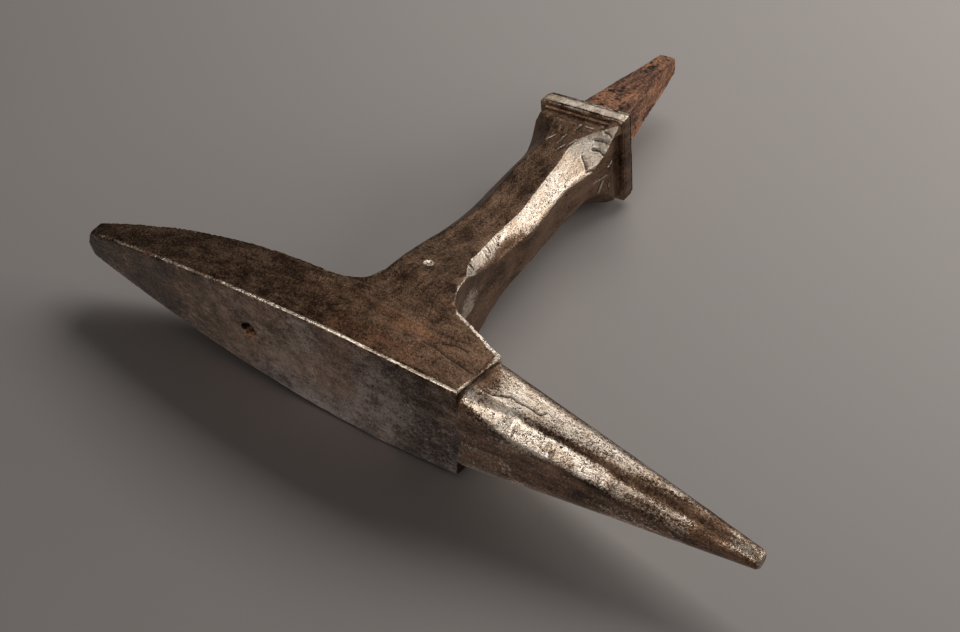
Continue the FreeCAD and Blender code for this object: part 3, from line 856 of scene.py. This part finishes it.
def split_pieces(body):
    """The skin parted along the forging's joints into one closed mesh for each frame node."""
    found = {}
    found["tang"], rest = split(body, tang_cutter())
    found["collar"], rest = split(rest, square_post(FAR, -FAR, COLLAR_TOP))
    found["foot"], rest = split(rest, square_post(FAR, -FAR, FOOT_TOP))
    whole_horn, rest = split(rest, horn_cutter())
    found["horn_steel"], found["horn_core"] = split(whole_horn, facing_cutter())
    found["face_steel"], rest = split(rest, facing_cutter())
    corner = (heel_glut_low[0], heel_glut_high[2])
    found["heel_glut"], rest = split(rest, glut_cutter(corner, heel_glut_low[2], HEEL_GLUT_SEAMS, 1))
    corner = (horn_glut_high[0], horn_glut_high[2])
    found["horn_glut"], rest = split(rest, glut_cutter(corner, horn_glut_low[2], HORN_GLUT_SEAMS, -1))
    found["shank"], rest = split(rest, shank_cutter())
    found["heel_core"], found["head_block"] = split(rest, heel_cutter())
    return found


# ---------------------------------------------------------------- materials


NOISE_ROUGHNESS = 0.55
# Each seed shifts the noise and the cells by these
NOISE_SHIFT = (3.7, 1.9, 5.3)
CELL_SHIFT = (2.3, 4.1, 1.3)


class Shader:
    """Short ways to build one material's nodes. Sizes are in millimetres."""

    def __init__(self, name):
        self.material = bpy.data.materials.new(name)
        self.material.use_nodes = True
        self.tree = self.material.node_tree
        self.tree.nodes.clear()
        place = self.add("ShaderNodeTexCoord").outputs["Object"]
        self.place = self.vector("SCALE", place, scale=1 / MM)

    def add(self, kind, **settings):
        made = self.tree.nodes.new(kind)
        for key, value in settings.items():
            setattr(made, key, value)
        return made

    def feed(self, socket, value):
        if isinstance(value, bpy.types.NodeSocket):
            self.tree.links.new(value, socket)
        else:
            socket.default_value = value

    def vector(self, operation, first, second=None, scale=None):
        """A vector's sum or product with a second one, or with a scale."""
        made = self.add("ShaderNodeVectorMath", operation=operation)
        self.feed(made.inputs[0], first)
        if second is not None:
            self.feed(made.inputs[1], second)
        if scale is not None:
            made.inputs["Scale"].default_value = scale
        return made.outputs[0]

    def math(self, operation, first, second, third=0.0):
        """A number worked out from two or three others."""
        made = self.add("ShaderNodeMath", operation=operation)
        for socket, value in zip(made.inputs, (first, second, third)):
            self.feed(socket, value)
        return made.outputs[0]

    def total(self, *values):
        result = values[0]
        for value in values[1:]:
            result = self.math("ADD", result, value)
        return result

    def scaled(self, value, factor):
        return self.math("MULTIPLY", value, factor)

    def mark(self, name):
        return self.add("ShaderNodeAttribute", attribute_name=name).outputs["Fac"]

    def noise(self, size, seed, detail, stretch=(1, 1, 1)):
        """Noise from -1 to 1."""
        scale = tuple(1 / (size * part) for part in stretch)
        place = self.vector("MULTIPLY", self.place, scale)
        place = self.vector("ADD", place, tuple(seed * part for part in NOISE_SHIFT))
        made = self.add("ShaderNodeTexNoise")
        self.feed(made.inputs["Vector"], place)
        made.inputs["Scale"].default_value = 1
        made.inputs["Detail"].default_value = detail
        made.inputs["Roughness"].default_value = NOISE_ROUGHNESS
        return self.math("MULTIPLY_ADD", made.outputs["Fac"], 2.0, -1.0)

    def cells(self, size, seed):
        """Distance to the nearest of scattered points, 0 on a point."""
        place = self.vector("SCALE", self.place, scale=1 / size)
        place = self.vector("ADD", place, tuple(seed * part for part in CELL_SHIFT))
        made = self.add("ShaderNodeTexVoronoi")
        self.feed(made.inputs["Vector"], place)
        made.inputs["Scale"].default_value = 1
        return made.outputs["Distance"]

    def step(self, value, start, end):
        """0 before start, 1 after end, smooth between them."""
        made = self.add("ShaderNodeMapRange", interpolation_type="SMOOTHSTEP")
        self.feed(made.inputs["Value"], value)
        made.inputs["From Min"].default_value = start
        made.inputs["From Max"].default_value = end
        return made.outputs["Result"]

    def blend(self, factor, first, second):
        """A colour mix, or a number mix if both ends are numbers."""
        numbers = not isinstance(second, (tuple, bpy.types.NodeSocket)) or (
            isinstance(second, bpy.types.NodeSocket) and second.type == "VALUE")
        made = self.add("ShaderNodeMix", data_type="FLOAT" if numbers else "RGBA")
        ends = (2, 3) if numbers else (6, 7)
        self.feed(made.inputs[0], factor)
        for socket, value in zip(ends, (first, second)):
            if isinstance(value, tuple):
                value = (*value, 1.0)
            self.feed(made.inputs[socket], value)
        return made.outputs[0 if numbers else 2]

    def finish(self, colour, metallic, roughness, height):
        """The finished material; height is in bump depths."""
        bump = self.add("ShaderNodeBump")
        bump.inputs["Distance"].default_value = BUMP_DEPTH * MM
        self.feed(bump.inputs["Height"], height)
        shader = self.add("ShaderNodeBsdfPrincipled")
        self.feed(shader.inputs["Base Color"], colour)
        self.feed(shader.inputs["Metallic"], metallic)
        self.feed(shader.inputs["Roughness"], roughness)
        self.feed(shader.inputs["Normal"], bump.outputs["Normal"])
        output = self.add("ShaderNodeOutputMaterial")
        self.feed(output.inputs["Surface"], shader.outputs[0])
        return self.material


DARK_PATINA = (0.030, 0.0155, 0.0090)
MID_PATINA = (0.245, 0.150, 0.096)
GREY_PATINA = (0.34, 0.285, 0.26)
RED_PATINA = (0.270, 0.135, 0.075)
BARE_STEEL = (0.72, 0.645, 0.56)
STAINED_STEEL = (0.38, 0.27, 0.18)
RUST_DARK = (0.060, 0.020, 0.011)
RUST_LIGHT = (0.55, 0.260, 0.135)
GRIME = (0.014, 0.008, 0.005)
BUMP_DEPTH = 0.22


def aged_iron(name, grain):
    """Forged iron under old patina: brown-black mottling, reddish streaks along the grain, bare
    steel where it is rubbed, painted shade where the wear mark is lowered, rust, and dirt in the pits."""
    s = Shader(name)
    broad = s.noise(26, seed=1, detail=5)
    middle = s.noise(6, seed=2, detail=6, stretch=grain)
    fine = s.noise(1.7, seed=3, detail=4)
    speck = s.noise(0.85, seed=4, detail=3)
    streak = s.noise(2.6, seed=5, detail=5, stretch=grain)
    pit = s.step(s.cells(1.3, seed=6), 0.40, 0.20)
    pit = s.scaled(pit, s.step(s.noise(6, seed=7, detail=3), -0.35, 0.35))

    mottle = s.total(s.scaled(broad, 0.6), s.scaled(middle, 1.5), s.scaled(fine, 1.7), s.scaled(speck, 1.4),
                     streak, s.scaled(s.mark("light"), 2.2))
    tone = s.step(mottle, -0.5, 2.8)
    colour = s.blend(tone, DARK_PATINA, MID_PATINA)
    grey = s.step(s.total(s.mark("grey"), s.scaled(middle, 0.6), s.scaled(fine, 0.4)), 0.1, 1.1)
    colour = s.blend(grey, colour, s.blend(tone, DARK_PATINA, GREY_PATINA))
    red = s.step(s.total(s.mark("red"), s.scaled(streak, 0.9), s.scaled(broad, 0.3)), 0.1, 1.2)
    colour = s.blend(red, colour, s.blend(tone, DARK_PATINA, RED_PATINA))

    # the wear mark also holds painted shade, which leaves less bare steel there
    wear_and_painted_shade = s.total(s.mark("wear_and_painted_shade"), s.scaled(middle, 0.22), s.scaled(fine, 0.42), s.scaled(speck, 0.36))
    bare = s.step(wear_and_painted_shade, 0.34, 0.74)
    steel = s.blend(s.step(s.total(streak, broad), -0.9, 0.7), STAINED_STEEL, BARE_STEEL)
    colour = s.blend(bare, colour, steel)

    rust = s.step(s.total(s.mark("rust"), s.scaled(middle, 0.35), s.scaled(fine, 0.2)), 0.45, 0.85)
    scale = s.total(s.scaled(broad, 0.8), s.scaled(middle, 2.4), s.scaled(fine, 1.8), s.scaled(speck, 1.2))
    colour = s.blend(rust, colour, s.blend(s.step(scale, -0.9, 1.5), RUST_DARK, RUST_LIGHT))
    lines = s.noise(0.9, seed=8, detail=1, stretch=(50, 50, 1))
    lines = s.scaled(s.step(lines, 0.0, 0.25), s.mark("filed"))
    dirt = s.total(s.mark("grime"), s.scaled(s.scaled(pit, bare), 0.9), s.scaled(fine, 0.25), lines)
    dirt = s.step(dirt, 0.30, 0.90)
    colour = s.blend(dirt, colour, GRIME)

    metallic = s.blend(rust, 1.0, 0.15)
    metallic = s.blend(dirt, metallic, 0.3)
    dull = s.total(0.46, s.scaled(middle, 0.12), s.scaled(fine, 0.12))
    roughness = s.blend(bare, dull, s.total(0.33, s.scaled(fine, 0.08)))
    roughness = s.blend(rust, roughness, 0.75)
    roughness = s.blend(dirt, roughness, 0.7)
    height = s.total(s.scaled(fine, 0.55), s.scaled(speck, 0.45), s.scaled(pit, -1.2),
                     s.scaled(lines, -1.5), s.scaled(s.scaled(rust, scale), 0.8))
    return s.finish(colour, metallic, roughness, height)


def one_sided(shader, surface):
    """The surface's back isn't there, so that the object is seen through the floor from below."""
    side = shader.add("ShaderNodeNewGeometry").outputs["Backfacing"]
    clear = shader.add("ShaderNodeBsdfTransparent")
    made = shader.add("ShaderNodeMixShader")
    shader.feed(made.inputs[0], side)
    shader.feed(made.inputs[1], surface)
    shader.feed(made.inputs[2], clear.outputs[0])
    return made.outputs[0]


FLOOR_DARK = (0.48, 0.448, 0.434)
FLOOR_LIGHT = (0.54, 0.504, 0.488)
FLOOR_ROUGHNESS = 0.65
FLOOR_CLOUDS = 900               # size of the floor's faint clouds


def floor_material():
    s = Shader("floor_paper")
    surface = s.add("ShaderNodeBsdfPrincipled")
    tone = s.step(s.noise(FLOOR_CLOUDS, seed=21, detail=2), -1, 1)
    s.feed(surface.inputs["Base Color"], s.blend(tone, FLOOR_DARK, FLOOR_LIGHT))
    surface.inputs["Roughness"].default_value = FLOOR_ROUGHNESS
    output = s.add("ShaderNodeOutputMaterial")
    s.feed(output.inputs["Surface"], one_sided(s, surface.outputs[0]))
    return s.material


# How far the grain is drawn out along each axis
ON_FACE = (1.6, 1, 1)
ALONG_HEAD = (5, 1, 1)
ALONG_STEM = (1, 1, 4)
materials = {
    "face_patina": aged_iron("face_patina", ON_FACE),
    "worn_steel": aged_iron("worn_steel", ALONG_HEAD),
    "iron_patina": aged_iron("iron_patina", ALONG_HEAD),
    "stem_patina": aged_iron("stem_patina", ALONG_STEM),
    "rusty_iron": aged_iron("rusty_iron", ALONG_STEM),
}
# Each frame node's material here and its slot in the record
FINISHES = {
    "face_steel": ("face_patina", "face_patina"),
    "horn_steel": ("worn_steel", "worn_steel"),
    "horn_core": ("worn_steel", "worn_steel"),
    "heel_core": ("iron_patina", "iron_patina"),
    "head_block": ("iron_patina", "iron_patina"),
    "heel_glut": ("iron_patina", "iron_patina"),
    "horn_glut": ("iron_patina", "iron_patina"),
    "shank": ("stem_patina", "iron_patina"),
    "foot": ("stem_patina", "iron_patina"),
    "collar": ("stem_patina", "iron_patina"),
    "tang": ("rusty_iron", "rusty_iron"),
}
SHARP_ANGLE = math.radians(50)   # edges sharper than this show as edges

pieces = split_pieces(mesh_object("skin", skin.mesh))
for node, piece in pieces.items():
    material, slot = FINISHES[node]
    piece.name = node + "_forged"
    piece.data.name = piece.name
    piece.data.materials.clear()
    piece.data.materials.append(materials[material])
    skin.mark_cuts(piece.data)
    piece.data.shade_smooth()
    piece.data.set_sharp_from_angle(angle=SHARP_ANGLE)
    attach(piece, "root")
    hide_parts(node)

# ---------------------------------------------------------------- floor, lights and camera


FLOOR_REACH = 8000.0


def floor():
    """The pale ground that the anvil's far cheek and its collar lie on. +Y points into it."""
    slope = (CHEEK - collar_high[1]) / (face_low[2] - COLLAR_TOP / 2)
    plane = bmesh.new()
    corners = [(-FLOOR_REACH, -FLOOR_REACH), (FLOOR_REACH, -FLOOR_REACH), (FLOOR_REACH, FLOOR_REACH),
               (-FLOOR_REACH, FLOOR_REACH)]
    verts = [plane.verts.new((cx * MM, (collar_high[1] + slope * cz) * MM, cz * MM)) for cx, cz in corners]
    plane.faces.new(verts)
    mesh = bpy.data.meshes.new("floor")
    plane.to_mesh(mesh)
    plane.free()
    made = mesh_object("floor", mesh)
    made.data.materials.append(floor_material())


TARGET = Vector((-0.0339, 0.0, 0.1977))       # the point that the camera and the lights look at


def softbox(name, direction, distance, width, height, power, tint):
    """A rectangular soft light that looks at the anvil from this direction."""
    light = bpy.data.lights.new(name, "AREA")
    light.shape = "RECTANGLE"
    light.size = width
    light.size_y = height
    light.energy = power
    light.color = tint
    made = bpy.data.objects.new(name, light)
    bpy.context.scene.collection.objects.link(made)
    away = Vector(unit(direction))
    made.location = TARGET + away * distance
    made.rotation_mode = "QUATERNION"
    made.rotation_quaternion = away.to_track_quat("Z", "Y")
    return made


CAMERA_DISTANCE = 0.9507
CAMERA_AZIMUTH = math.radians(-29.68)
CAMERA_ELEVATION = math.radians(36.81)
CAMERA_ROLL = math.radians(-136.03)
LENS = 56.25
SENSOR_WIDTH = 36.0
NEAREST, FARTHEST = 0.01, 100    # the camera sees what is between these distances


def camera():
    made = bpy.data.objects.new("camera", bpy.data.cameras.new("camera"))
    bpy.context.scene.collection.objects.link(made)
    made.data.lens = LENS
    made.data.sensor_width = SENSOR_WIDTH
    flat = math.cos(CAMERA_ELEVATION)
    back = Vector((math.sin(CAMERA_AZIMUTH) * flat, -math.cos(CAMERA_AZIMUTH) * flat,
                   math.sin(CAMERA_ELEVATION)))
    made.location = TARGET + back * CAMERA_DISTANCE
    made.rotation_mode = "QUATERNION"
    level = back.to_track_quat("Z", "Y")
    made.rotation_quaternion = level @ Matrix.Rotation(CAMERA_ROLL, 3, "Z").to_quaternion()
    made.data.clip_start = NEAREST
    made.data.clip_end = FARTHEST
    bpy.context.scene.camera = made


def only_for(light, objects):
    """The light reaches these objects alone, and nothing else shades them from it."""
    group = bpy.data.collections.new(light.name + "_group")
    for obj in objects:
        group.objects.link(obj)
    light.light_linking.receiver_collection = group
    light.light_linking.blocker_collection = group


SURROUNDINGS = (1.0, 0.97, 0.94, 1)
SURROUNDINGS_STRENGTH = 0.08


def surroundings():
    """A weak even light from all around."""
    world = bpy.data.worlds.new("studio")
    bpy.context.scene.world = world
    world.use_nodes = True
    background = world.node_tree.nodes["Background"]
    background.inputs["Color"].default_value = SURROUNDINGS
    background.inputs["Strength"].default_value = SURROUNDINGS_STRENGTH


WARM = (1.0, 0.965, 0.925)
WHITE = (1, 1, 1)
# The soft lights: direction, distance, width, height, power and tint
LIGHTS = (
    ("back_light", (0.05, -0.70, -0.72), 1.7, 1.5, 0.8, 11, WARM),
    ("right_light", (-0.64, -0.29, -0.71), 1.5, 0.6, 1.1, 8, WARM),
)
ANVIL_LIGHTS = (
    ("side_light", (-0.84, -0.53, 0.06), 1.5, 0.5, 0.5, 3.5, WARM),
    ("front_light", (0.14, -0.38, 0.91), 1.6, 0.9, 0.6, 9, WARM),
    ("rim_light", (0.42, -0.58, 0.70), 1.5, 0.45, 0.45, 4, WARM),
    ("fill_light", (0.2, -0.95, 0.17), 2.0, 1.0, 1.0, 3, WARM),
    ("below_light", (0.4, 0.8, 0.3), 2.0, 2.0, 2.0, 5, WHITE),
)
floor()
for settings in LIGHTS:
    softbox(*settings)
for settings in ANVIL_LIGHTS:
    only_for(softbox(*settings), pieces.values())
camera()
surroundings()
bpy.context.scene.view_settings.view_transform = "Standard"
